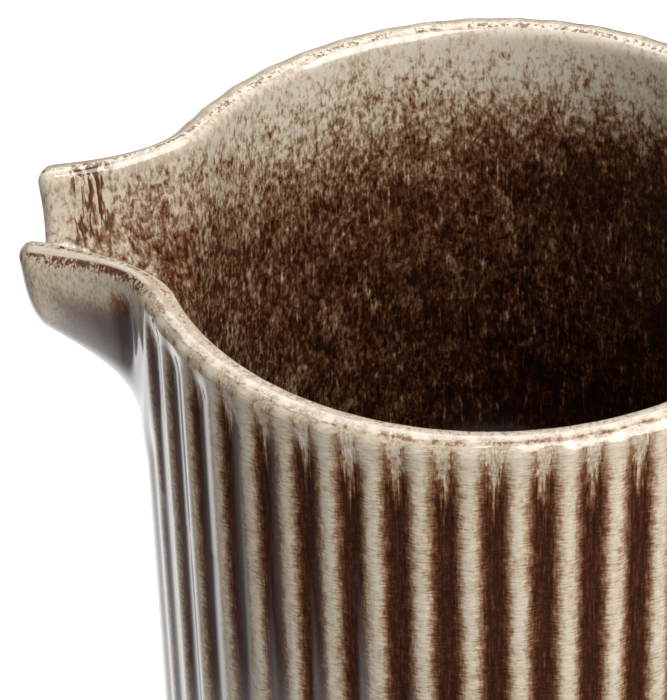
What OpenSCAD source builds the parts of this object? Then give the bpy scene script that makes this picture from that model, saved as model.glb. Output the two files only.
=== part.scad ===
// Stoneware jug: fluted wall, folded pouring lip, strap handle, glaze coats. Lengths in mm, +Z up.
// The origin is the centre of the face the jug stands on. The lip points along -X, the handle +X.

/* [Body] */
// Outside diameter over the ridges, glaze included
body_d = 104; // [94:1:120]
// Height from the table to the top of the rim
body_h = 165; // [150:1:200]
// Finished wall thickness, glaze on both sides included
wall_t = 4.8; // [4.2:0.1:6]
// Thickness of a glaze coat
glaze_t = 0.4; // [0.3:0.05:0.5]

/* [Flutes] */
// Number of flutes round the wall
flute_count = 48; // [40:4:56]
// Depth of a flute below the ridges
flute_depth = 1.3; // [0.9:0.1:1.5]
// Width of a flute at the ridges
flute_w = 3.8; // [3:0.1:4.2]
// Distance from the rim down to the top of the flutes
flute_drop = 5; // [4:0.5:12]
// Distance from the underside of the floor up to the foot of the flutes
flute_foot = 6; // [4:0.5:12]

/* [Base] */
// Thickness of the floor slab
floor_t = 6; // [5:0.5:8]
// Bevel round the lower edge of the floor slab
floor_bevel = 3; // [2:0.5:4]
// Height of the foot ring
foot_h = 4; // [3:0.5:7]
// Width of the foot ring's standing face
foot_w = 6; // [4:0.5:9]
// Distance of the foot ring in from the side of the body
foot_inset = 6; // [5:0.5:10]

/* [Pouring lip] */
// Reach of the lip beyond the body
lip_reach = 15.2; // [10:0.2:20]
// Outside width of the lip at its end
lip_w = 22.8; // [19:0.2:27]
// Depth of the lip at its end
lip_depth = 16.5; // [12:0.5:18]
// Width of the lip where it leaves the wall at the rim
root_w = 40; // [34:1:44]
// Depth of the lip where it leaves the wall
root_depth = 36; // [30:0.5:44]

/* [Handle] */
// Width of the strap
strap_w = 18; // [14:0.5:24]
// Thickness of the strap
strap_t = 8; // [6:0.5:10]
// Distance from the body to the middle of the grip
handle_reach = 32; // [30:0.5:40]
// Distance from the rim down to the middle of the upper end
handle_drop = 24; // [20:1:28]
// Height of the middle of the lower end above the table
handle_low = 45; // [36:1:50]
// Radius of the upper bend, as a share of the free reach
upper_share = 0.6; // [0.4:0.05:0.75]
// Radius of the lower bend, as a share of the free reach
lower_share = 0.85; // [0.6:0.05:0.95]
// Thickness of the slip pads over the ridges
slip_t = 2; // [1.5:0.1:3]
// Width of the slip that shows round the strap
slip_edge = 1.6; // [1:0.1:3]

/* [Hidden] */
$fn = 96;

// Colours: bare clay, fresh slip, outer glaze, liner glaze
clay_colour = [0.62, 0.47, 0.36];
slip_colour = [0.55, 0.40, 0.30];
glaze_colour = [0.70, 0.62, 0.52];
liner_colour = [0.34, 0.24, 0.18];

// Body: radii, the middle of the wall, and the centre height of the rim's round edge
outer_r = body_d / 2;
inner_r = outer_r - wall_t;
mid_r = outer_r - wall_t / 2;
edge_z = body_h - wall_t / 2;
floor_top = foot_h + floor_t;

// Flutes: radius of the round cutter and the radius its axis stands on
flute_r = (flute_depth * flute_depth + flute_w * flute_w / 4) / (2 * flute_depth);
flute_axis = outer_r - flute_depth + flute_r;
flute_z0 = foot_h + flute_foot + flute_r;
flute_z1 = body_h - flute_drop - flute_r;

// Lip: sections along it, points on each side of a section, and points round each top edge
lip_rows = 14;
side_steps = 32;
edge_steps = 5;
// Squareness of the lip's section where it leaves the wall and at its end (2 is an ellipse)
root_power = 2.2;
end_power = 2.8;
// Length of the curve that leaves the wall, and of the straighter one that runs to the end
root_pull = 7;
end_pull = 9;
// How far the sides close in, and how far the keel rises, for each mm of reach at the end
side_slope = 0.2;
keel_slope = 0.75;
// How far the cut end leans back for each mm of depth
end_rake = 0.08;

// Handle: face of the pads, heights of the two ends, middle of the grip and radii of the bends
pad_x = outer_r + slip_t;
upper_z = body_h - handle_drop;
lower_z = handle_low;
grip_x = outer_r + handle_reach;
upper_bend = upper_share * (grip_x - pad_x);
lower_bend = lower_share * (grip_x - pad_x);

// Margin by which a cutting shape runs past what it cuts
over = 5;

// Outer half of the wall's section, set in from the finished surface
module outer_half(inset, z0) {
    intersection() {
        union() {
            translate([0, z0]) square([outer_r - inset, edge_z - z0]);
            translate([mid_r, edge_z]) circle(wall_t / 2 - inset);
        }
        translate([mid_r, z0]) square([wall_t, body_h]);
    }
}

// Inner half of the wall's section, set in from the finished surface
module inner_half(inset, z0) {
    intersection() {
        union() {
            translate([inner_r + inset, z0]) square([wall_t, edge_z - z0]);
            translate([mid_r, edge_z]) circle(wall_t / 2 - inset);
        }
        translate([mid_r - wall_t, z0]) square([wall_t, body_h]);
    }
}

// One round-ended cutter for each flute, grown by the inset
module flute_cutters(inset) {
    for (i = [0 : flute_count - 1])
        rotate(i * 360 / flute_count + 180 / flute_count)
            translate([flute_axis, 0, 0]) {
                translate([0, 0, flute_z0]) cylinder(h = flute_z1 - flute_z0, r = flute_r + inset);
                translate([0, 0, flute_z0]) sphere(flute_r + inset);
                translate([0, 0, flute_z1]) sphere(flute_r + inset);
            }
}

// Outer half of the wall as a fluted solid, set in from the finished surface
module fluted_half(inset, z0) {
    difference() {
        rotate_extrude() outer_half(inset, z0);
        flute_cutters(inset);
    }
}

// A sine or cosine bent towards a square corner, with its sign kept
function squared(c, power) = sign(c) * pow(abs(c), 2 / power);

// Outline of the lip where it leaves the wall: y, and z below the centre of the round edge
function root_y(a) = root_w / 2 * squared(sin(a), root_power);
function root_z(a) = edge_z - (root_depth - wall_t / 2) * squared(cos(a), root_power);

// Start of one line of the lip, on the wall
function root_point(a, inset, rise) =
    let (y = root_y(a))
    [-sqrt(pow(outer_r - inset, 2) - y * y), y, root_z(a) + rise];

// End of one line of the lip, at its open end
function end_point(a, inset, rise, end_inset) =
    let (z = edge_z - (lip_depth - wall_t / 2 - inset) * squared(cos(a), end_power) + rise)
    [end_inset + end_rake * (body_h - z) - outer_r - lip_reach,
     (lip_w / 2 - inset) * squared(sin(a), end_power),
     z];

// Direction in which the lip leaves the wall, and the one in which it runs out
function root_way(a, inset) =
    let (b = asin(root_y(a) / (outer_r - inset)))
    [-abs(sin(b) * sin(a)), -cos(b) * sin(a), cos(a)];
function end_way(a) = [-1, -side_slope * sin(a), keel_slope * cos(a)];

// One point of the lip: v runs from the wall (0) to the open end (1)
function lip_point(a, inset, rise, end_inset, v) =
    let (p = root_point(a, inset, rise),
         q = end_point(a, inset, rise, end_inset),
         c = p + root_pull * root_way(a, inset),
         d = q - end_pull * end_way(a),
         u = 1 - v)
    u * u * u * p + 3 * u * u * v * c + 3 * u * v * v * d + v * v * v * q;

// Angles along one side of a section, and the turn round its top edge
side_angles = [for (i = [0 : side_steps]) -90 + 180 * i / side_steps];
edge_turns = [for (i = [1 : edge_steps]) 180 * i / (edge_steps + 1)];

// One closed section of the lip: outside, far top edge, inside, near top edge
function lip_section(skin, end_inset, v) =
    let (edge_r = wall_t / 2 - skin)
    concat(
        [for (a = side_angles) lip_point(a, skin, 0, end_inset, v)],
        [for (t = edge_turns)
            lip_point(90, wall_t / 2 - edge_r * cos(t), edge_r * sin(t), end_inset, v)],
        [for (a = side_angles) lip_point(-a, wall_t - skin, 0, end_inset, v)],
        [for (t = edge_turns)
            lip_point(-90, wall_t / 2 + edge_r * cos(t), edge_r * sin(t), end_inset, v)]);

// All sections of the lip, one after another
function lip_points(skin, end_inset) =
    [for (r = [0 : lip_rows]) each lip_section(skin, end_inset, r / lip_rows)];

// Points in one section, and the index of one point of a section
section_size = 2 * (side_steps + 1 + edge_steps);
function at(row, i) = row * section_size + (i + section_size) % section_size;

// Point across the wall from point i, and the first and last point of the strip between them
function across(i) = 2 * side_steps + 1 + edge_steps - i;
strip_first = -(edge_steps + 1) / 2;
strip_last = side_steps + (edge_steps - 1) / 2;

// Triangles of the lip's skin, and of its end in one row, seen from outside
lip_skin = [for (r = [0 : lip_rows - 1], i = [0 : section_size - 1], half = [0, 1])
    half == 0 ? [at(r, i), at(r, i + 1), at(r + 1, i)]
              : [at(r, i + 1), at(r + 1, i + 1), at(r + 1, i)]];
function lip_end(row) = [for (i = [strip_first : strip_last], half = [0, 1])
    if (half == 0 ? i > strip_first : i < strip_last)
        half == 0 ? [at(row, i), at(row, i + 1), at(row, across(i))]
                  : [at(row, i + 1), at(row, across(i + 1)), at(row, across(i))]];

// The same triangles seen from the other side, and moved on in the list of points
function turned(faces) = [for (f = faces) [f[2], f[1], f[0]]];
function moved(faces, by) = [for (f = faces) [f[0] + by, f[1] + by, f[2] + by]];

// Opening in the wall that the lip is set into
module lip_opening() {
    outline = concat([[-root_w / 2, body_h + over]],
                     [for (a = side_angles) [root_y(a), root_z(a)]],
                     [[root_w / 2, body_h + over]]);
    translate([-inner_r / 2, 0, 0]) rotate([90, 0, -90])
        linear_extrude(outer_r) mirror([1, 0]) polygon(outline);
}

// Flat oval section of the strap, grown by a margin on every side
module strap_section(grow) {
    r = strap_t / 2 + grow;
    square([strap_w - strap_t, 2 * r], center = true);
    for (s = [-1, 1]) translate([s * (strap_w - strap_t) / 2, 0]) circle(r);
}

// Carries a section, drawn with its width along X, along the middle line of the handle
module along_handle() {
    translate([pad_x, 0, upper_z]) rotate([90, 0, 90])
        linear_extrude(grip_x - upper_bend - pad_x) children();
    translate([grip_x - upper_bend, 0, upper_z - upper_bend]) rotate([90, 0, 0])
        rotate_extrude(angle = 90) translate([upper_bend, 0]) rotate(90) children();
    translate([grip_x, 0, lower_z + lower_bend])
        linear_extrude(upper_z - upper_bend - lower_z - lower_bend) rotate(90) children();
    translate([grip_x - lower_bend, 0, lower_z + lower_bend]) rotate([90, 0, 0]) rotate(-90)
        rotate_extrude(angle = 90) translate([lower_bend, 0]) rotate(90) children();
    translate([pad_x, 0, lower_z]) rotate([90, 0, 90])
        linear_extrude(grip_x - lower_bend - pad_x) children();
}

// The two slip pads as plain blocks that reach into the wall, grown by a margin
module pad_blocks(grow) {
    for (z = [lower_z, upper_z])
        translate([mid_r, 0, z]) rotate([90, 0, 90])
            linear_extrude(pad_x + grow - mid_r) strap_section(slip_edge + grow);
}

// Clay tube with upright flutes, a round top edge and the opening for the lip
module fluted_wall() {
    color(clay_colour) difference() {
        union() {
            fluted_half(glaze_t, floor_top);
            rotate_extrude() inner_half(glaze_t, floor_top);
        }
        lip_opening();
    }
}

// Clay slab that the wall stands on, with a bevel round its lower edge
module floor_disc() {
    r = outer_r - glaze_t;
    color(clay_colour) {
        translate([0, 0, foot_h]) cylinder(h = floor_bevel, r1 = r - floor_bevel, r2 = r);
        translate([0, 0, foot_h + floor_bevel]) cylinder(h = floor_t - floor_bevel, r = r);
    }
}

// Bare clay ring that the jug stands on
module foot_ring() {
    r = outer_r - foot_inset;
    color(clay_colour) rotate_extrude() translate([r - foot_w, 0]) square([foot_w, foot_h]);
}

// Folded clay trough from the opening in the wall to the open end
module pouring_lip() {
    color(clay_colour) polyhedron(
        points = lip_points(glaze_t, glaze_t),
        faces = concat(lip_skin, turned(lip_end(0)), lip_end(lip_rows)));
}

// Clay strap between the two pads
module handle() {
    color(clay_colour) along_handle() strap_section(0);
}

// Pads of slip between the ends of the strap and the fluted wall
module luting_slip() {
    color(slip_colour) difference() {
        pad_blocks(0);
        fluted_half(glaze_t, floor_top);
    }
}

// Glaze on the outside of the wall and of the slab, left open round the lip and the pads
module outer_glaze() {
    z0 = foot_h + floor_bevel;
    color(glaze_colour) difference() {
        fluted_half(0, z0);
        fluted_half(glaze_t, z0);
        lip_opening();
        pad_blocks(0);
    }
}

// Glaze on the inside of the wall and on the floor
module liner_glaze() {
    color(liner_colour) difference() {
        rotate_extrude() {
            difference() {
                inner_half(0, floor_top);
                inner_half(glaze_t, floor_top);
            }
            translate([0, floor_top]) square([inner_r + glaze_t / 2, glaze_t]);
        }
        lip_opening();
    }
}

// Glaze round the lip: the finished skin outside, the clay inside it
module lip_glaze() {
    count = (lip_rows + 1) * section_size;
    joint = [for (i = [0 : section_size - 1], half = [0, 1])
        half == 0 ? [at(0, i), count + at(0, i), at(0, i + 1)]
                  : [at(0, i + 1), count + at(0, i), count + at(0, i + 1)]];
    color(glaze_colour) polyhedron(
        points = concat(lip_points(0, 0), lip_points(glaze_t, glaze_t)),
        faces = concat(lip_skin, lip_end(lip_rows), joint,
                       turned(moved(concat(lip_skin, lip_end(lip_rows)), count))));
}

// Glaze round the strap and over the edges of the pads
module handle_glaze() {
    color(glaze_colour) {
        along_handle() difference() {
            strap_section(glaze_t);
            strap_section(0);
        }
        difference() {
            pad_blocks(glaze_t);
            pad_blocks(0);
            fluted_half(0, floor_top);
            for (z = [lower_z, upper_z])
                translate([mid_r, 0, z]) rotate([90, 0, 90])
                    linear_extrude(outer_r) strap_section(glaze_t);
        }
    }
}

fluted_wall();
floor_disc();
foot_ring();
pouring_lip();
handle();
luting_slip();
outer_glaze();
liner_glaze();
lip_glaze();
handle_glaze();
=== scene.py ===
"""Looks of the stoneware jug: one glazed shell with ribs and pouring lip, a glazed handle, bare clay."""
import math

import bmesh
import bpy
import numpy as np
from mathutils import Matrix, Vector


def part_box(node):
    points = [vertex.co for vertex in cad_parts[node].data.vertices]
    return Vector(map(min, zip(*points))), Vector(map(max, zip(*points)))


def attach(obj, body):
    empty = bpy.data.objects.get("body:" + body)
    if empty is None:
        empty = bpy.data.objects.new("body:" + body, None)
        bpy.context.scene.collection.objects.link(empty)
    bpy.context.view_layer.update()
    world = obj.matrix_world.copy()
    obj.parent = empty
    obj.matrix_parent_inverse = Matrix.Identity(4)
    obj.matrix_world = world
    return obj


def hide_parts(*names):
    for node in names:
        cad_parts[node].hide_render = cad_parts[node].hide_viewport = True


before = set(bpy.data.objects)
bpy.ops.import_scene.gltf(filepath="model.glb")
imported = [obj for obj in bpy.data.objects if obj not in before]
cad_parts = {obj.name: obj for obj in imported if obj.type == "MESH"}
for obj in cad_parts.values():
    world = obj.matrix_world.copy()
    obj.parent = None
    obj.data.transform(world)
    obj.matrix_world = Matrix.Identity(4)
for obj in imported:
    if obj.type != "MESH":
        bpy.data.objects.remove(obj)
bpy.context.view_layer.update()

MM = 0.001

# Sizes that the frame gives: body, floor, lip and handle
body_low, body_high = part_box("outer_glaze")
lip_low, lip_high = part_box("lip_glaze")
strap_low, strap_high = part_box("handle")
OUTER_R = body_high[1]
RIM_Z = body_high[2]
GLAZE_LINE = body_low[2]
FLOOR_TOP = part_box("floor_disc")[1][2]
FLOOR_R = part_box("floor_disc")[1][1]
LIP_REACH = -lip_low[0]
ROOT_HALF = lip_high[1]
ROOT_LOW = lip_low[2]

# Wall: thickness, round edge of the rim, glaze coat, and the fillet between wall and floor
WALL_T = 4.8 * MM
EDGE_R = WALL_T / 2
EDGE_Z = RIM_Z - EDGE_R
GLAZE_T = 0.4 * MM
FLOOR_FILLET = 7 * MM
# Corners of the rim's section: 2 is round, more is squarer
OUTER_CORNER = 2.0
INNER_CORNER = 2.8

# Ribs: count, turn of the first one from the lip, depth, how far their ridges lie behind the rim,
# how much of the depth is left at the rim, and where they fade out
RIB_COUNT = 48
RIB_TURN = math.radians(0.26)
RIB_DEPTH = 0.6 * MM
RIDGE_BACK = 0.5 * MM
RIM_SCALLOP = 0.45
RIB_TOP = (1 * MM, 7 * MM)
RIB_FOOT = (2 * MM, 10 * MM)
LIP_FADE = (1.0, 1.6)
# Shallow neck between the rim and the tops of the ridges: depth, middle and half height
NECK_DEPTH = 0.25 * MM
NECK_MIDDLE = 3.4 * MM
NECK_HALF = 1.0 * MM

# Lip: half width and depth at the open end, squareness of its sections, and pull of its curves
END_HALF = 11.4 * MM
END_DEPTH = 16.5 * MM
ROOT_POWER = 2.2
END_POWER = 2.8
ROOT_PULL = 7 * MM
END_PULL = 9 * MM
SIDE_SLOPE = 0.2
KEEL_SLOPE = 0.75
END_RAKE = 0.08
END_DROP = 0.9 * MM
# Part of the lip's length in which its open end rounds off
END_ROUND = 0.09
# Groove beside the wall on each flank of the lip: depth, place and half width as shares of the
# lip's length, and the heights below the edge between which it fades in and out
FOLD_DEPTH = 0.9 * MM
FOLD_PLACE = 0.28
FOLD_HALF = 0.10
FOLD_TOP = (2 * MM, 6 * MM)
FOLD_FOOT = (12 * MM, 24 * MM)

# Mesh of the wall: columns per rib, and rows at the foot, above it, beside the lip, round the rim,
# on the inside below the lip, in the fillet and on the floor
RIB_COLUMNS = 11
FOOT_ROWS = 13
LOW_ROWS = 15
ROOT_ROWS = 44
EDGE_ROWS = 16
DEEP_ROWS = 13
FILLET_ROWS = 8
FLOOR_ROWS = 6
# Mesh of the lip: rows along it and round its end
LIP_ROWS = 35
END_ROWS = 8
# Angle on each side of the lip over which the columns give way to it
GIVE_WAY = math.radians(45)
# Points closer than this are one, and edges shorter than this are dropped
WELD = 0.002 * MM
SHORTEST = 0.0005 * MM

# Handle: half thickness of the clay, half width and half thickness with the glaze, middle of the
# strap at the grip and at its ends, bends, and the flare at its ends
STRAP_HALF = 4 * MM
STRAP_W = strap_high[1] + GLAZE_T
STRAP_T = STRAP_HALF + GLAZE_T
GRIP_X = strap_high[0] - STRAP_HALF
UPPER_Z = strap_high[2] - STRAP_HALF
LOWER_Z = strap_low[2] + STRAP_HALF
UPPER_BEND = 18 * MM
LOWER_BEND = 25.5 * MM
HANDLE_SINK = 3 * MM
FLARE = (3.2 * MM, 2.4 * MM)
FLARE_REACH = 4 * MM
STRAP_POWER = 2.6
STRAP_STATIONS = 120
STRAP_POINTS = 48
# The glaze shades the strap's flats and corners as the lip so many mm below its edge
FLAT_EDGE = 10.5
CORNER_EDGE = 3.0

# Camera: from the centre of the rim, then its own aim, all as fitted to the photo
PHOTO_SIZE = (667, 700)
FOCAL_PX = 4250
SENSOR_MM = 36
CAMERA_AZIMUTH = math.radians(4.135)
CAMERA_ELEVATION = math.radians(36.57)
CAMERA_DISTANCE = 0.6050
AIM_YAW = math.radians(-2.748)
AIM_PITCH = math.radians(38.33)
AIM_ROLL = math.radians(-2.25)

# Light: level of the surroundings, and place, size and power of the two lamps, which face one point
WORLD_LEVEL = 0.16
LAMP_AIM = (0, 0, 0.13)
LAMPS = {
    "key": {"place": (0.72, -0.65, 0.90), "size": (1.0, 1.6), "watts": 22},
    "overhead": {"place": (-0.25, 0.50, 1.25), "size": (1.6, 1.0), "watts": 11},
}


def smooth_step(x, low, high):
    """0 below low, 1 above high, smooth between."""
    t = np.clip((x - low) / (high - low), 0, 1)
    return t * t * (3 - 2 * t)


def steps(start, stop, count):
    """The ends of a count of equal steps."""
    return np.linspace(start, stop, count + 1)


def squared(c, power):
    """A sine or cosine bent towards a square corner, with its sign kept."""
    return np.sign(c) * np.abs(c) ** (2 / power)


def rim_section(turn):
    """Place across the rim, -1 outside to 1 inside, and lift, 0 to 1.

    The turn runs from the outside (0) over the top to the inside (180 degrees).
    """
    power = np.where(turn < math.pi / 2, OUTER_CORNER, INNER_CORNER)
    return -squared(np.cos(turn), power), squared(np.sin(turn), power)


def root_outline(a):
    """y and z of the lip's outline on the wall; a runs from the keel (0) to the rim (90 degrees)."""
    y = ROOT_HALF * squared(np.sin(a), ROOT_POWER)
    z = EDGE_Z - (EDGE_Z - ROOT_LOW) * squared(np.cos(a), ROOT_POWER)
    return y, z


def lip_points(a, inset, rise, v):
    """Points of the lip: v runs from the wall (0) to the open end (1)."""
    y, z = root_outline(a)
    radius = OUTER_R - inset
    start = np.stack([-np.sqrt(radius ** 2 - y ** 2), y, z + rise], -1)
    end_z = EDGE_Z - END_DROP - (END_DEPTH - EDGE_R - inset) * squared(np.cos(a), END_POWER) + rise
    end_y = (END_HALF - inset) * squared(np.sin(a), END_POWER)
    end = np.stack([END_RAKE * (RIM_Z - end_z) - LIP_REACH, end_y, end_z], -1)
    turn = np.arcsin(y / radius)
    leave = np.stack([-np.abs(np.sin(turn) * np.sin(a)), -np.cos(turn) * np.sin(a), np.cos(a)], -1)
    arrive = np.stack([-np.ones_like(a), -SIDE_SLOPE * np.sin(a), KEEL_SLOPE * np.cos(a)], -1)
    u = 1 - v
    return (u ** 3 * start + 3 * u * u * v * (start + ROOT_PULL * leave)
            + 3 * u * v * v * (end - END_PULL * arrive) + v ** 3 * end)


def rib_cut(theta, z, weight):
    """How far the ribbed surface lies inside the rim's radius at an angle from the lip and a height."""
    groove = 0.5 - 0.5 * np.cos(RIB_COUNT * (theta + RIB_TURN))
    below = smooth_step(RIM_Z - z, *RIB_TOP)
    neck = NECK_DEPTH * (1 - groove) * np.exp(-((RIM_Z - z - NECK_MIDDLE) / NECK_HALF) ** 2)
    cut = RIB_DEPTH * groove * (RIM_SCALLOP + (1 - RIM_SCALLOP) * below) + RIDGE_BACK * below + neck
    foot = smooth_step(z - FLOOR_TOP, *RIB_FOOT)
    y = OUTER_R * np.abs(np.sin(theta))
    from_lip = (y / ROOT_HALF) ** ROOT_POWER
    from_lip += (np.maximum(EDGE_Z - z, 0) / (EDGE_Z - ROOT_LOW)) ** ROOT_POWER
    beside = np.where(np.cos(theta) > 0, smooth_step(from_lip, *LIP_FADE), 1)
    return cut * foot * beside * weight


def wall_rows():
    """Rows of the wall from under the floor up the outside, over the rim and down to the floor.

    Each row is (inset, z, half width of the lip's root, share of the ribs, inside 0 to 1).
    """
    rows = [(OUTER_R, FLOOR_TOP, 0, 0, 0)]
    rows += [(OUTER_R - FLOOR_R, z, 0, 0, 0) for z in (FLOOR_TOP, GLAZE_LINE)]
    foot_z = FLOOR_TOP + RIB_FOOT[1]
    rows += [(0, z, 0, 1, 0) for z in steps(GLAZE_LINE, foot_z, FOOT_ROWS)]
    rows += [(0, z, 0, 1, 0) for z in steps(foot_z, ROOT_LOW, LOW_ROWS)[1:-1]]
    root = list(zip(*root_outline(steps(0, math.pi / 2, ROOT_ROWS))))
    rows += [(0, z, y, 1, 0) for y, z in root]
    for turn in steps(0, math.pi, EDGE_ROWS)[1:-1]:
        across, lift = rim_section(turn)
        inset = EDGE_R + EDGE_R * across
        rows.append((inset, EDGE_Z + EDGE_R * lift, ROOT_HALF, (1 - across) / 2, turn / math.pi))
    rows += [(WALL_T, z, y, 0, 1) for y, z in reversed(root)]
    bottom = FLOOR_TOP + GLAZE_T
    rows += [(WALL_T, z, 0, 0, 1) for z in steps(ROOT_LOW, bottom + FLOOR_FILLET, DEEP_ROWS)[1:]]
    for turn in steps(0, math.pi / 2, FILLET_ROWS)[1:]:
        inset = WALL_T + FLOOR_FILLET * (1 - math.cos(turn))
        rows.append((inset, bottom + FLOOR_FILLET * (1 - math.sin(turn)), 0, 0, 1))
    rows += [(inset, bottom, 0, 0, 1) for inset in steps(WALL_T + FLOOR_FILLET, OUTER_R, FLOOR_ROWS)[1:]]
    return rows


def wall_grid():
    """Points, inside and edge values of the wall, one row of columns after another."""
    u = steps(0, 2 * math.pi, RIB_COUNT * RIB_COLUMNS)
    points, inside, edge = [], [], []
    for inset, z, half, share, within in wall_rows():
        radius = OUTER_R - inset
        start = math.asin(half / radius) if half else 0
        theta = np.where(u < GIVE_WAY, start + u * (1 - start / GIVE_WAY), u)
        back = 2 * math.pi - u
        theta = np.where(back < GIVE_WAY, 2 * math.pi - start - back * (1 - start / GIVE_WAY), theta)
        r = radius - rib_cut(theta, z, share)
        points.append(np.stack([-r * np.cos(theta), r * np.sin(theta), np.full_like(u, z)], -1))
        inside.append(np.full_like(u, within))
        edge.append(np.full_like(u, RIM_Z - z))
    return np.array(points), np.array(inside), np.array(edge)


def lip_grid():
    """Points, inside and edge values of the lip: closed sections from the wall to the open end."""
    half_side = steps(0, math.pi / 2, ROOT_ROWS)
    side = np.concatenate([-half_side[:0:-1], half_side])
    turns = steps(0, math.pi, EDGE_ROWS)[1:-1]
    top = np.full_like(turns, math.pi / 2)
    a = np.concatenate([side, top, -side, -top])
    over, rise = rim_section(turns)
    across = np.concatenate([-np.ones_like(side), over, np.ones_like(side), over[::-1]])
    lift = np.concatenate([0 * side, rise, 0 * side, rise[::-1]])
    stations = [(v, 1.0) for v in steps(0, 1 - END_ROUND, LIP_ROWS)]
    for turn in steps(0, math.pi / 2, END_ROWS)[1:]:
        stations.append((1 - END_ROUND * (1 - math.sin(turn)), math.cos(turn)))
    points, inside, edge = [], [], []
    for v, thickness in stations:
        half = EDGE_R * thickness
        inset = EDGE_R + half * across
        along = np.full((len(a), 1), v)
        ring = lip_points(a, inset, half * lift, along)
        below = ring[:, 2].max() - ring[:, 2]
        fold = FOLD_DEPTH * math.exp(-((v - FOLD_PLACE) / FOLD_HALF) ** 2) * (across == -1)
        fold = fold * smooth_step(below, *FOLD_TOP) * (1 - smooth_step(below, *FOLD_FOOT))
        ring = lip_points(a, inset + fold, half * lift, along)
        points.append(ring)
        inside.append(0.5 + 0.5 * across)
        edge.append(ring[:, 2].max() - ring[:, 2])
    return np.array(points), np.array(inside), np.array(edge)


def grid_faces(rows, columns, closed, first):
    """Quads of a grid of points whose first point has the index first."""
    count = columns if closed else columns - 1
    faces = []
    for r in range(rows - 1):
        for c in range(count):
            d = (c + 1) % columns
            faces.append((first + r * columns + c, first + r * columns + d,
                          first + (r + 1) * columns + d, first + (r + 1) * columns + c))
    return faces


def mesh_piece(name, points, faces, values):
    """A smooth, closed mesh object from points and faces, with named values at its points."""
    mesh = bpy.data.meshes.new(name)
    mesh.from_pydata(points.tolist(), [], faces)
    for key, data in values.items():
        mesh.attributes.new(key, "FLOAT", "POINT").data.foreach_set("value", data)
    work = bmesh.new()
    work.from_mesh(mesh)
    bmesh.ops.remove_doubles(work, verts=work.verts, dist=WELD)
    bmesh.ops.dissolve_degenerate(work, edges=work.edges, dist=SHORTEST)
    bmesh.ops.recalc_face_normals(work, faces=work.faces)
    for face in work.faces:
        face.smooth = True
    work.to_mesh(mesh)
    work.free()
    piece = bpy.data.objects.new(name, mesh)
    bpy.context.scene.collection.objects.link(piece)
    return piece


def glazed_shell():
    """The whole glazed pot as one closed surface: wall, rim, lip, inside and floor."""
    wall, wall_inside, wall_edge = wall_grid()
    lip, lip_inside, lip_edge = lip_grid()
    points = np.concatenate([wall.reshape(-1, 3), lip.reshape(-1, 3)])
    faces = grid_faces(wall.shape[0], wall.shape[1], False, 0)
    faces += grid_faces(lip.shape[0], lip.shape[1], True, wall.shape[0] * wall.shape[1])
    plain = np.concatenate([np.zeros(wall_inside.size), np.ones(lip_inside.size)])
    return mesh_piece("glazed_shell", points, faces, {
        "inside": np.concatenate([wall_inside.ravel(), lip_inside.ravel()]),
        "edge": np.concatenate([wall_edge.ravel(), lip_edge.ravel()]) / MM,
        "plain": plain})


def handle_path():
    """Points and directions along the middle of the strap, and the distance from its nearer end."""
    start_x = OUTER_R - HANDLE_SINK
    upper_run = GRIP_X - UPPER_BEND - start_x
    grip_run = UPPER_Z - UPPER_BEND - LOWER_Z - LOWER_BEND
    lower_run = GRIP_X - LOWER_BEND - start_x
    lengths = [upper_run, UPPER_BEND * math.pi / 2, grip_run, LOWER_BEND * math.pi / 2, lower_run]
    ends = np.cumsum(lengths)
    points, ways, near = [], [], []
    for s in np.linspace(0, ends[-1], STRAP_STATIONS):
        if s <= ends[0]:
            x, z, angle = start_x + s, UPPER_Z, 0
        elif s <= ends[1]:
            angle = (s - ends[0]) / UPPER_BEND
            x = GRIP_X - UPPER_BEND + UPPER_BEND * math.sin(angle)
            z = UPPER_Z - UPPER_BEND + UPPER_BEND * math.cos(angle)
        elif s <= ends[2]:
            x, z, angle = GRIP_X, UPPER_Z - UPPER_BEND - (s - ends[1]), math.pi / 2
        elif s <= ends[3]:
            angle = math.pi / 2 + (s - ends[2]) / LOWER_BEND
            x = GRIP_X - LOWER_BEND + LOWER_BEND * math.sin(angle)
            z = LOWER_Z + LOWER_BEND + LOWER_BEND * math.cos(angle)
        else:
            x, z, angle = GRIP_X - LOWER_BEND - (s - ends[3]), LOWER_Z, math.pi
        points.append((x, 0, z))
        ways.append((math.cos(angle), 0, -math.sin(angle)))
        near.append(min(s, ends[-1] - s))
    return np.array(points), np.array(ways), np.array(near)


def glazed_handle():
    """The strap as a closed sweep that flares where it meets the wall."""
    path, ways, near = handle_path()
    turn = np.linspace(0, 2 * math.pi, STRAP_POINTS, endpoint=False)
    rings = []
    for point, way, s in zip(path, ways, near):
        flare = math.exp(-max(s - HANDLE_SINK, 0) / FLARE_REACH)
        wide = (STRAP_W + FLARE[0] * flare) * squared(np.cos(turn), STRAP_POWER)
        thick = (STRAP_T + FLARE[1] * flare) * squared(np.sin(turn), STRAP_POWER)
        normal = np.array([-way[2], 0, way[0]])
        rings.append(point + wide[:, None] * np.array([0, 1, 0]) + thick[:, None] * normal)
    grid = np.array(rings)
    count = grid.shape[0] * STRAP_POINTS
    faces = grid_faces(grid.shape[0], STRAP_POINTS, True, 0)
    faces += [tuple(range(STRAP_POINTS)), tuple(range(count - STRAP_POINTS, count))]
    corner = np.sin(2 * turn) ** 2
    return mesh_piece("glazed_handle", grid.reshape(-1, 3), faces, {
        "inside": np.zeros(count),
        "edge": np.tile(FLAT_EDGE + (CORNER_EDGE - FLAT_EDGE) * corner, grid.shape[0]),
        "plain": np.ones(count)})


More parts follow.
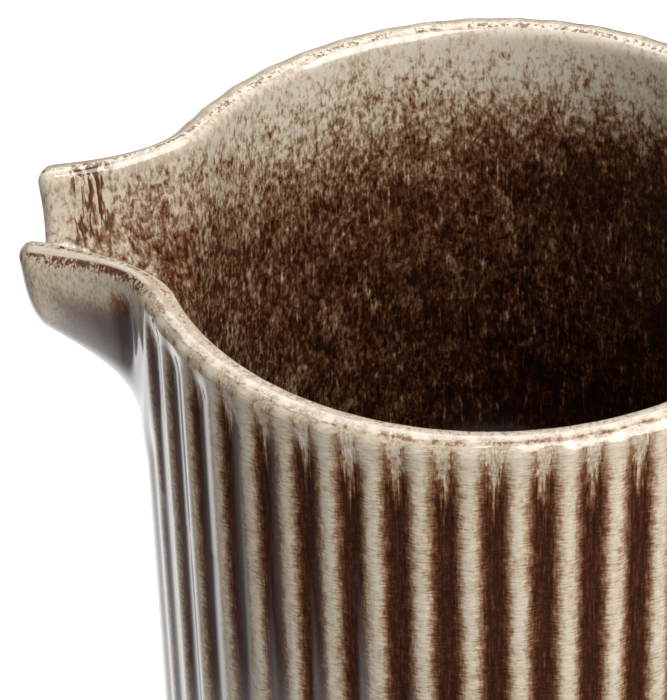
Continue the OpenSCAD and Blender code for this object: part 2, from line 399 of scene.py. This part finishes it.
class Nodes:
    """Short calls that add shader nodes and return their output sockets."""

    def __init__(self, name):
        self.material = bpy.data.materials.new(name)
        self.material.use_nodes = True
        self.tree = self.material.node_tree
        self.shader = self.tree.nodes["Principled BSDF"]

    def add(self, kind, **settings):
        """A new node with its settings."""
        node = self.tree.nodes.new(kind)
        for key, value in settings.items():
            setattr(node, key, value)
        return node

    def put(self, value, socket):
        """Links an output to a socket, or sets the socket to a constant."""
        if isinstance(value, bpy.types.NodeSocket):
            self.tree.links.new(value, socket)
        else:
            socket.default_value = value

    def math(self, operation, a, b=0.0):
        """One step of arithmetic with one or two numbers."""
        node = self.add("ShaderNodeMath", operation=operation)
        self.put(a, node.inputs[0])
        self.put(b, node.inputs[1])
        return node.outputs[0]

    def product(self, *factors):
        """All the numbers, multiplied."""
        result = factors[0]
        for factor in factors[1:]:
            result = self.math("MULTIPLY", result, factor)
        return result

    def largest(self, *numbers):
        """The largest of the numbers."""
        result = numbers[0]
        for number in numbers[1:]:
            result = self.math("MAXIMUM", result, number)
        return result

    def weighted(self, *terms, offset=0.0):
        """Sum of numbers, each times its weight, and an offset."""
        total = offset
        for value, weight in terms:
            node = self.add("ShaderNodeMath", operation="MULTIPLY_ADD")
            for socket, item in zip(node.inputs, (value, weight, total)):
                self.put(item, socket)
            total = node.outputs[0]
        return total

    def total(self, *numbers):
        """All the numbers, added."""
        return self.weighted(*[(number, 1.0) for number in numbers])

    def rest(self, share):
        """What a share leaves of 1."""
        return self.math("SUBTRACT", 1.0, share)

    def span(self, value, low, high, to_low=0.0, to_high=1.0, linear=False):
        """A value from low to high made to run from to_low to to_high, and held there outside."""
        node = self.add("ShaderNodeMapRange", interpolation_type="LINEAR" if linear else "SMOOTHSTEP")
        for socket, item in zip(node.inputs, (value, low, high, to_low, to_high)):
            self.put(item, socket)
        return node.outputs[0]

    def window(self, value, rise, fall):
        """1 between the rise and the fall, which each are a start and an end, and 0 outside them."""
        return self.product(self.span(value, *rise), self.span(value, *fall, 1.0, 0.0))

    def mix(self, factor, a, b):
        """Colour a at factor 0 and b at factor 1."""
        node = self.add("ShaderNodeMix", data_type="RGBA")
        self.put(factor, node.inputs[0])
        self.put(a, node.inputs[6])
        self.put(b, node.inputs[7])
        return node.outputs[2]

    def blend(self, factor, a, b):
        """Number a at factor 0 and b at factor 1."""
        node = self.add("ShaderNodeMix", data_type="FLOAT")
        self.put(factor, node.inputs[0])
        self.put(a, node.inputs[2])
        self.put(b, node.inputs[3])
        return node.outputs[0]

    def noise(self, place, stretch, detail, rough, twist=0.0):
        """Noise with one feature per given length, in mm, along X, Y and Z."""
        scale = self.add("ShaderNodeVectorMath", operation="MULTIPLY")
        self.put(place, scale.inputs[0])
        scale.inputs[1].default_value = [1 / (length * MM) for length in stretch]
        node = self.add("ShaderNodeTexNoise")
        self.put(scale.outputs[0], node.inputs["Vector"])
        node.inputs["Scale"].default_value = 1.0
        node.inputs["Detail"].default_value = detail
        node.inputs["Roughness"].default_value = rough
        node.inputs["Distortion"].default_value = twist
        return node.outputs["Fac"]

    def sway(self, noises, weights):
        """Sum of noises, each times its weight, that swings about 0."""
        return self.weighted(*zip(noises, weights), offset=-sum(weights) / 2)

    def bump(self, height, strength, distance):
        """Makes a height show as unevenness of the surface."""
        node = self.add("ShaderNodeBump")
        node.inputs["Strength"].default_value = strength
        node.inputs["Distance"].default_value = distance
        self.put(height, node.inputs["Height"])
        self.put(node.outputs["Normal"], self.shader.inputs["Normal"])

    def place(self):
        """Place on the object, in the frame of the part."""
        return self.add("ShaderNodeTexCoord").outputs["Object"]

    def axes(self, place):
        """X, Y and Z of a place."""
        node = self.add("ShaderNodeSeparateXYZ")
        self.put(place, node.inputs[0])
        return node.outputs

    def value(self, name):
        """A named value of the mesh's points."""
        return self.add("ShaderNodeAttribute", attribute_name=name).outputs["Fac"]


# The glaze has a tone from 0, where it pools, to 1, where it is thinnest, and these are its colours
GLAZE_TONES = (
    (0.00, (0.011, 0.006, 0.004, 1)),
    (0.22, (0.050, 0.014, 0.006, 1)),
    (0.42, (0.120, 0.047, 0.020, 1)),
    (0.62, (0.300, 0.177, 0.100, 1)),
    (0.82, (0.570, 0.470, 0.350, 1)),
    (1.00, (0.720, 0.630, 0.510, 1)),
)
# Grey of the painted reflection, mixed into the glaze's colour on the outside of the lip
PAINTED_REFLECTION_GREY = (0.20, 0.175, 0.165, 1)
# Roughness of the glaze and of its gloss, and strength and height of its unevenness
GLAZE_ROUGH = 0.10
GLOSS_ROUGH = 0.03
GLAZE_BUMP = (0.02, 0.05 * MM)

# Noises in the glaze: mm along X, Y and Z, detail, roughness and, where it is bent, twist
HAIR = ((1.3, 1.3, 0.30), 2.0, 0.6)
STREAK = ((0.38, 0.38, 1.4), 3.0, 0.65)
SPECK = ((0.52, 0.52, 0.85), 3.0, 0.6)
CLOUD = ((3.6, 3.6, 6.0), 3.0, 0.55)
FUR = ((0.8, 0.8, 0.24), 2.0, 0.5)
WANDER = ((1.4, 1.4, 3.0), 2.0, 0.5)
STRAND = ((0.26, 0.26, 5.0), 2.0, 0.5)
BLOT = ((0.9, 0.9, 1.4), 3.0, 0.65, 0.4)
DASH = ((0.55, 0.55, 4.5), 2.0, 0.5)
TUFT = ((0.24, 0.24, 2.2), 2.0, 0.5)
DRIP = ((0.85, 0.85, 7.0), 2.0, 0.5, 0.7)
DOT = ((0.7, 0.7, 0.5), 3.0, 0.6)

# The spans below are (from, to, value at from, value at to), and without values they run from 0 to 1.
# They go by mm below the rim or the lip's edge, by mm from the lip's end where END is in the name, by
# the level of a noise where LEVEL is in the name, or by what their own comment says.

# Ribbed wall: tone in the grooves, half width and tone of the wedges, and least tone at the rim
GROOVE_TONE = (1.5, 9.5, 0.60, 0.20)
WEDGE_HALF = (1.5, 16.5, 0.85, -0.20)
WEDGE_TONE = (2.0, 13.0, 0.79, 0.64)
RIM_TONE = (0.9, 2.2, 0.78, 0.0)
# Tone of the ridges, the rise to it and the soft edge of a wedge by the way from groove (0) to ridge (1)
RIDGE_TONE = 0.94
RIDGE_RISE = (0.20, 1.05)
WEDGE_SOFT = (-0.34, 0.40)
# Weights of fur, wander and streak beside a ridge, of strand, wander and streak in a wedge, and of
# strand and streak in a groove; and how the lines of hair grow from groove (0) to ridge (1)
RIDGE_MIX = (0.35, 0.45, 0.30)
WEDGE_MIX = (0.55, 0.45, 0.35)
GROOVE_MIX = (0.495, 0.495)
HAIR_SHARE = (0.0, 1.0, 0.3, 0.6)


def rib_tone(n, place, edge, hair, streak):
    """Tone of the ribbed wall: pale ridges, dark grooves, pale wedges that run down from the rim."""
    x, y = n.axes(place)[:2]
    angle = n.math("ARCTAN2", y, n.math("MULTIPLY", x, -1.0))
    wave = n.math("COSINE", n.weighted((angle, RIB_COUNT), offset=RIB_COUNT * RIB_TURN))
    ridge = n.span(wave, -1.0, 1.0, linear=True)
    fur = n.noise(place, *FUR)
    wander = n.noise(place, *WANDER)
    strand = n.noise(place, *STRAND)
    ragged = n.total(ridge, n.sway((fur, wander, streak), RIDGE_MIX))
    tone = n.span(ragged, *RIDGE_RISE, n.span(edge, *GROOVE_TONE), RIDGE_TONE, linear=True)
    # Half width of the wedge, as a share of the way from the middle of a groove to a ridge
    half = n.total(n.span(edge, *WEDGE_HALF, linear=True), n.sway((strand, wander, streak), WEDGE_MIX))
    wedge = n.span(n.math("SUBTRACT", half, n.math("SQRT", ridge)), *WEDGE_SOFT, linear=True)
    tone = n.largest(tone, n.product(wedge, n.span(edge, *WEDGE_TONE)), n.span(edge, *RIM_TONE))
    lines = n.product(n.sway((hair,), (1.0,)), n.span(ridge, *HAIR_SHARE))
    upright = n.product(n.sway((strand, streak), GROOVE_MIX), n.rest(ridge))
    return n.total(tone, lines, upright)


# Inside: tone and its further loss by mm from the rim or the lip's end, whichever is nearer, and least
# tone at the rim
UPPER_TONE = (3.0, 27.0, 0.94, 0.39)
LOWER_LOSS = (27.0, 66.0, 0.0, -0.23)
INNER_RIM_TONE = (2.0, 4.5, 0.80, 0.0)
# Towards the lip: rise and fall of the loss of tone, and its amount
LIPWARD_END = ((8.0, 14.0), (20.0, 32.0))
LIPWARD_LOSS = (12.0, 22.0, -0.12, -0.06)
# Away from the lip, painted shading of the inside, a little lighter just under the rim and darker below
# it:
# rise of the change of tone, its amount, and its share further down
AWAY_SHADE_END = (48.0, 76.0)
AWAY_PAINTED_SHADING = (10.0, 20.0, 0.04, -0.16)
AWAY_SHADE_SHARE = (26.0, 42.0, 1.0, 0.2)
# Weights of streak, blot and cloud in the flecks; level and gain of the pale dashes deep down
INSIDE_MIX = (0.9, 1.3, 0.7)
DASH_LEVEL = (0.55, 0.75)
DASH_GAIN = (10.0, 30.0, 0.0, 0.30)


def inside_tone(n, place, edge, end, streak, cloud):
    """Tone of the inside: pale under the rim, darker with depth, with painted shade away from the lip,
    flecked, pale dashes deep down.
    """
    near = n.math("MINIMUM", edge, end)
    base = n.total(n.span(near, *UPPER_TONE, linear=True), n.span(near, *LOWER_LOSS, linear=True))
    lipward = n.product(n.window(end, *LIPWARD_END), n.span(edge, *LIPWARD_LOSS))
    # Painted shade: away from the lip the inside is darker below the rim and a little lighter just under
    # it
    away = n.product(n.span(end, *AWAY_SHADE_END), n.span(edge, *AWAY_PAINTED_SHADING), n.span(edge, *AWAY_SHADE_SHARE))
    flecks = n.sway((streak, n.noise(place, *BLOT), cloud), INSIDE_MIX)
    dashes = n.product(n.span(n.noise(place, *DASH), *DASH_LEVEL), n.span(edge, *DASH_GAIN))
    tone = n.total(base, lipward, away, flecks, dashes)
    return n.largest(tone, n.span(edge, *INNER_RIM_TONE))


# Painted shade and dark reflection in the fold beside the wall, a dark streak: its rise and fall along
# the lip and down the flank
FOLD_SHADE_END = ((13.0, 15.2), (16.5, 17.5))
FOLD_SHADE_DOWN = ((3.0, 7.0), (13.0, 20.0))


def lip_fold_shade(n, edge, end):
    """Share of the painted shade and dark reflection, a dark streak, in the fold between the lip's flank
    and the wall.
    """
    return n.product(n.window(end, *FOLD_SHADE_END), n.window(edge, *FOLD_SHADE_DOWN))


# Outside of the lip: tone, mm by which the open end counts less as an edge, and loss of tone as painted
# shade in the fold and on the lip's top, where it goes with the grey tint of the painted reflection
LIP_TONE = (4.0, 13.0, 0.85, 0.52)
END_MARGIN = 1.0
FOLD_PAINTED_SHADE = -0.32
TOP_LOSS = (0.1, 0.7, -0.09, 0.0)
# Brown line under the lip's top: upper and lower side, mm by which tufts of hair move the lower one,
# weights of speck and cloud that break the line, and its loss of tone by their level
LINE_TOP = (0.25, 0.45)
LINE_FOOT = (0.7, 2.1, 1.0, 0.0)
TUFT_SWAY = 4.0
BREAK_MIX = (0.5, 0.5)
LINE_LEVEL = (0.44, 0.54, 0.0, 0.52)
# Weights of streak, speck and cloud in the flecks, and their strength on the lip, on the handle, which
# is far from the lip's end, and on the lip's top
LIP_MIX = (0.3, 0.26, 0.2)
LIP_FLECKS = (5.0, 10.0, 1.9, 0.8)
HANDLE_FLECKS_END = (30.0, 60.0, 0.8, 2.6)
TOP_FLECKS = (0.3, 1.0, 0.3, 1.0)


def lip_tone(n, place, edge, end, fold, streak, speck, cloud):
    """Tone of smooth outer glaze: pale at its edges, dark below, with painted shade in the fold beside
    the wall.
    """
    near = n.math("MINIMUM", edge, n.total(end, END_MARGIN))
    # Painted shade: the fold beside the wall is darker
    base = n.total(n.span(near, *LIP_TONE), n.product(fold, FOLD_PAINTED_SHADE), n.span(edge, *TOP_LOSS))
    ragged = n.total(edge, n.sway((n.noise(place, *TUFT),), (TUFT_SWAY,)))
    broken = n.span(n.weighted(*zip((speck, cloud), BREAK_MIX)), *LINE_LEVEL)
    line = n.product(n.span(edge, *LINE_TOP), n.span(ragged, *LINE_FOOT), broken)
    amount = n.largest(n.span(near, *LIP_FLECKS), n.span(end, *HANDLE_FLECKS_END))
    flecks = n.product(n.sway((streak, speck, cloud), LIP_MIX), amount, n.span(edge, *TOP_FLECKS))
    return n.total(n.math("SUBTRACT", base, line), flecks)


# Painted grey reflection on the lip's outside: growth below the edge, mm by which the open end counts
# less as an edge, largest share on the lip and none on the handle, share that the fold takes away, and
# the thin grey on the lip's top that tints its reflected band
REFLECTION_DOWN = (4.5, 11.0)
REFLECTION_MARGIN = 2.0
REFLECTION_END = (30.0, 60.0, 0.75, 0.0)
FOLD_CLEARS = 0.6
REFLECTION_TOP = (0.2, 0.8, 1.0, 0.0)
REFLECTION_TOP_END = (9.0, 18.0, 0.42, 0.0)


def lip_painted_reflection(n, edge, end, fold, plain, is_inside):
    """Share of the painted grey reflection in the smooth outer glaze: thin on the lip's top, thick below
    its edge.
    """
    near = n.math("MINIMUM", edge, n.total(end, REFLECTION_MARGIN))
    clear = n.rest(n.product(fold, FOLD_CLEARS))
    outside = n.product(plain, n.rest(is_inside), clear, n.span(end, *REFLECTION_END))
    top = n.product(n.span(edge, *REFLECTION_TOP), n.span(end, *REFLECTION_TOP_END))
    return n.product(outside, n.largest(n.span(near, *REFLECTION_DOWN), top))


# Brown runs: rise and fall along the lip, start across its edge from outside (0) to inside (1), share
# down the inside, weight of streak in them, the level at which they show, and their tone
RUN_END = ((4.5, 6.0), (9.5, 12.0))
RUN_INSIDE = (0.56, 0.62)
RUN_DOWN = (8.0, 22.0, 0.9, 0.0)
RUN_STREAK = 0.4
RUN_LEVEL = (0.43, 0.60)
RUN_TONE = 0.34


def lip_runs(n, place, inside, edge, end, streak):
    """Share of the brown runs a little way in from the open end of the lip, down its inside."""
    drips = n.total(n.noise(place, *DRIP), n.sway((streak,), (RUN_STREAK,)))
    where = n.product(n.window(end, *RUN_END), n.span(inside, *RUN_INSIDE), n.span(edge, *RUN_DOWN))
    return n.product(n.span(drips, *RUN_LEVEL), where)


# Specks on the rim: rise and fall of their two lines across it from outside (0) to inside (1), strength
# of the inner line, shift of the outer line and loss of tone by metres from front to back, weights of
# dot and cloud, and the level at which specks show
OUTER_LINE = ((0.26, 0.32), (0.38, 0.44))
INNER_LINE = ((0.52, 0.57), (0.64, 0.70))
INNER_STRENGTH = 1.4
BACK_SHIFT = (-0.02, 0.02, 0.0, 0.05)
SPECK_LOSS = (-0.02, 0.02, 0.21, 0.41)
DOT_MIX = (0.6, 0.4)
DOT_LEVEL = (0.48, 0.59)


def rim_specks(n, place, inside, plain, cloud):
    """Loss of tone by brown specks in two lines along the rim.

    They are stronger at the back, where the outer line also lies further out.
    """
    y = n.axes(place)[1]
    over = n.total(inside, n.span(y, *BACK_SHIFT))
    outer = n.product(n.window(over, *OUTER_LINE), n.rest(plain))
    inner = n.product(n.window(inside, *INNER_LINE), INNER_STRENGTH)
    dots = n.span(n.weighted(*zip((n.noise(place, *DOT), cloud), DOT_MIX)), *DOT_LEVEL)
    return n.product(dots, n.largest(outer, inner), n.span(y, *SPECK_LOSS))


def tone_colour(n, tone):
    """Colour of the glaze at a tone."""
    ramp = n.add("ShaderNodeValToRGB")
    stops = ramp.color_ramp.elements
    while len(stops) < len(GLAZE_TONES):
        stops.new(0.5)
    for stop, (position, colour) in zip(stops, GLAZE_TONES):
        stop.position = position
        stop.color = colour
    n.put(tone, ramp.inputs["Fac"])
    return ramp.outputs["Color"]


# Where on the rim, from outside (0) to inside (1), the outer glaze gives way to the inner one
TURN_INSIDE = (0.40, 0.62)


def glaze_material():
    """Reactive glaze: cream where it thins on ridges and edges, dark brown where it pools, with painted
    shade inside and in the lip's fold, and a painted grey reflection on the lip.
    """
    n = Nodes("reactive_glaze")
    place = n.place()
    inside = n.value("inside")
    edge = n.value("edge")
    plain = n.value("plain")
    # Distance from the open end of the lip, in mm
    end = n.weighted((n.axes(place)[0], 1 / MM), offset=LIP_REACH / MM)
    hair = n.noise(place, *HAIR)
    streak = n.noise(place, *STREAK)
    speck = n.noise(place, *SPECK)
    cloud = n.noise(place, *CLOUD)

    # Painted shade and dark reflection in the fold between the lip's flank and the wall
    fold = lip_fold_shade(n, edge, end)
    ribbed = rib_tone(n, place, edge, hair, streak)
    smooth = lip_tone(n, place, edge, end, fold, streak, speck, cloud)
    is_inside = n.span(inside, *TURN_INSIDE)
    within = inside_tone(n, place, edge, end, streak, cloud)
    tone = n.blend(is_inside, n.blend(plain, ribbed, smooth), within)
    tone = n.blend(lip_runs(n, place, inside, edge, end, streak), tone, RUN_TONE)
    tone = n.math("SUBTRACT", tone, rim_specks(n, place, inside, plain, cloud))

    # Painted reflection: grey mixed into the outside of the lip below its edge, and thinly on its top
    painted_reflection = lip_painted_reflection(n, edge, end, fold, plain, is_inside)
    n.put(n.mix(painted_reflection, tone_colour(n, tone), PAINTED_REFLECTION_GREY), n.shader.inputs["Base Color"])
    n.shader.inputs["Roughness"].default_value = GLAZE_ROUGH
    n.shader.inputs["Coat Weight"].default_value = 1.0
    n.shader.inputs["Coat Roughness"].default_value = GLOSS_ROUGH
    n.bump(n.total(hair, streak), *GLAZE_BUMP)
    return n.material


# Bare clay: colours, the level at which grains show, roughness and unevenness, and its two noises
CLAY_DEEP = (0.40, 0.26, 0.16, 1)
CLAY_PALE = (0.50, 0.34, 0.22, 1)
CLAY_GRAIN = (0.16, 0.09, 0.05, 1)
GRAIN_LEVEL = (0.62, 0.70)
CLAY_ROUGH = 0.85
CLAY_BUMP = (0.4, 0.1 * MM)
GRAIN = ((0.5, 0.5, 0.5), 4.0, 0.7)
PATCH = ((12.0, 12.0, 6.0), 2.0, 0.5)


def clay_material():
    """Bare fired stoneware with fine dark grains."""
    n = Nodes("bare_clay")
    place = n.place()
    grain = n.noise(place, *GRAIN)
    colour = n.mix(n.noise(place, *PATCH), CLAY_DEEP, CLAY_PALE)
    colour = n.mix(n.span(grain, *GRAIN_LEVEL), colour, CLAY_GRAIN)
    n.put(colour, n.shader.inputs["Base Color"])
    n.shader.inputs["Roughness"].default_value = CLAY_ROUGH
    n.bump(grain, *CLAY_BUMP)
    return n.material


def paint(piece, material):
    """Gives a piece one material in place of those it has."""
    piece.data.materials.clear()
    piece.data.materials.append(material)


# Floor: half its side, its drop below the jug, roughness, how white it shows, and how pale it is in
# light and in mirrors, where it is nearly black as a painted dark reflection in the glaze
GROUND_HALF = 6.0
GROUND_DROP = 0.02 * MM
GROUND_ROUGH = 0.9
GROUND_WHITE = 0.75
GROUND_LIT = 0.6
GROUND_MIRRORED = 0.02
# Zones where the floor glows white to mirrors only, a light that is no lamp seen as painted reflections
# in the glaze, by x, by y or by the slant, which is SLANT times x plus y, all in metres: behind the lip,
# beside it, and dimly further to the left
SLANT = 0.9
BEHIND_X = (-0.09, -0.03, 1.0, 0.0)
BEHIND_SLANT = (-0.17, -0.05)
BESIDE_X = ((-0.165, -0.115), (-0.07, -0.04))
BESIDE_Y = (-0.14, -0.10, 0.0, 0.8)
FURTHER_X = (-0.18, -0.12, 0.14, 0.0)
FURTHER_SLANT = (-0.27, -0.17)


def floor_material():
    """Pale floor that shows white to the camera; to mirrors it is nearly black, a painted dark
    reflection, but glows white in the zones round the lip, for painted reflections in the glaze.
    """
    n = Nodes("floor_white")
    n.shader.inputs["Roughness"].default_value = GROUND_ROUGH
    n.shader.inputs["Specular IOR Level"].default_value = 0.0
    path = n.add("ShaderNodeLightPath").outputs
    # Painted dark reflection: the floor is nearly black to glossy rays
    pale = n.span(path["Is Glossy Ray"], 0.0, 1.0, GROUND_LIT, GROUND_MIRRORED)
    n.put(pale, n.shader.inputs["Base Color"])
    x, y = n.axes(n.place())[:2]
    slant = n.weighted((x, SLANT), (y, 1.0))
    behind = n.product(n.span(x, *BEHIND_X), n.span(slant, *BEHIND_SLANT))
    beside = n.product(n.window(x, *BESIDE_X), n.span(y, *BESIDE_Y))
    further = n.product(n.span(x, *FURTHER_X), n.span(slant, *FURTHER_SLANT))
    # Painted reflections: the floor glows white to mirrors in the zones round the lip
    mirrored = n.largest(path["Is Glossy Ray"], path["Is Transmission Ray"])
    mirrored = n.product(mirrored, n.largest(behind, beside, further))
    seen = n.product(path["Is Camera Ray"], GROUND_WHITE)
    n.shader.inputs["Emission Color"].default_value = (1, 1, 1, 1)
    n.put(n.largest(seen, mirrored), n.shader.inputs["Emission Strength"])
    return n.material


def floor():
    """Plain pale floor under the jug, seen as white but for the jug's shadow."""
    mesh = bpy.data.meshes.new("floor")
    signs = ((-1, -1), (1, -1), (1, 1), (-1, 1))
    corners = [(GROUND_HALF * x, GROUND_HALF * y, -GROUND_DROP) for x, y in signs]
    mesh.from_pydata(corners, [], [(0, 1, 2, 3)])
    piece = bpy.data.objects.new("floor", mesh)
    bpy.context.scene.collection.objects.link(piece)
    piece.data.materials.append(floor_material())


def soft_box(name, place, size, watts):
    """Oblong area lamp that faces the jug."""
    data = bpy.data.lights.new(name, "AREA")
    data.shape = "RECTANGLE"
    data.size, data.size_y = size
    data.energy = watts
    lamp = bpy.data.objects.new(name, data)
    lamp.location = place
    lamp.rotation_euler = (Vector(LAMP_AIM) - Vector(place)).to_track_quat("-Z", "Y").to_euler()
    bpy.context.scene.collection.objects.link(lamp)


def studio():
    """Dim surroundings that the camera sees as white, a lamp at the front right and one above, behind."""
    world = bpy.data.worlds.new("studio")
    bpy.context.scene.world = world
    world.use_nodes = True
    tree = world.node_tree
    back = tree.nodes["Background"]
    back.inputs["Color"].default_value = (1, 1, 1, 1)
    path = tree.nodes.new("ShaderNodeLightPath")
    level = tree.nodes.new("ShaderNodeMapRange")
    level.inputs["To Min"].default_value = WORLD_LEVEL
    level.inputs["To Max"].default_value = 1.0
    tree.links.new(path.outputs["Is Camera Ray"], level.inputs["Value"])
    tree.links.new(level.outputs["Result"], back.inputs["Strength"])
    for name, lamp in LAMPS.items():
        soft_box(name, **lamp)


def camera():
    """Camera at the photo's place, aim and focal length."""
    data = bpy.data.cameras.new("camera")
    data.sensor_width = SENSOR_MM
    data.lens = SENSOR_MM * FOCAL_PX / max(PHOTO_SIZE)
    view = bpy.data.objects.new("camera", data)
    ahead = Vector((math.sin(AIM_YAW) * math.cos(AIM_PITCH),
                    math.cos(AIM_YAW) * math.cos(AIM_PITCH), -math.sin(AIM_PITCH)))
    level = Vector((math.cos(AIM_YAW), -math.sin(AIM_YAW), 0))
    above = level.cross(ahead)
    right = math.cos(AIM_ROLL) * level + math.sin(AIM_ROLL) * above
    up = math.cos(AIM_ROLL) * above - math.sin(AIM_ROLL) * level
    aim = Matrix((right, up, -ahead)).transposed().to_4x4()
    away = Vector((0, -math.cos(CAMERA_ELEVATION), math.sin(CAMERA_ELEVATION))) * CAMERA_DISTANCE
    about = Matrix.Rotation(CAMERA_AZIMUTH, 4, "Z")
    view.matrix_world = Matrix.Translation((0, 0, RIM_Z)) @ about @ Matrix.Translation(away) @ aim
    bpy.context.scene.collection.objects.link(view)
    bpy.context.scene.camera = view


glaze = glaze_material()
clay = clay_material()

shell = glazed_shell()
paint(shell, glaze)
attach(shell, "root")
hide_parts("outer_glaze", "liner_glaze", "lip_glaze", "fluted_wall", "pouring_lip")

strap = glazed_handle()
paint(strap, glaze)
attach(strap, "root")
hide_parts("handle", "handle_glaze", "luting_slip")

for name in ("floor_disc", "foot_ring"):
    paint(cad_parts[name], clay)

floor()
studio()
camera()
bpy.context.scene.view_settings.view_transform = "Standard"
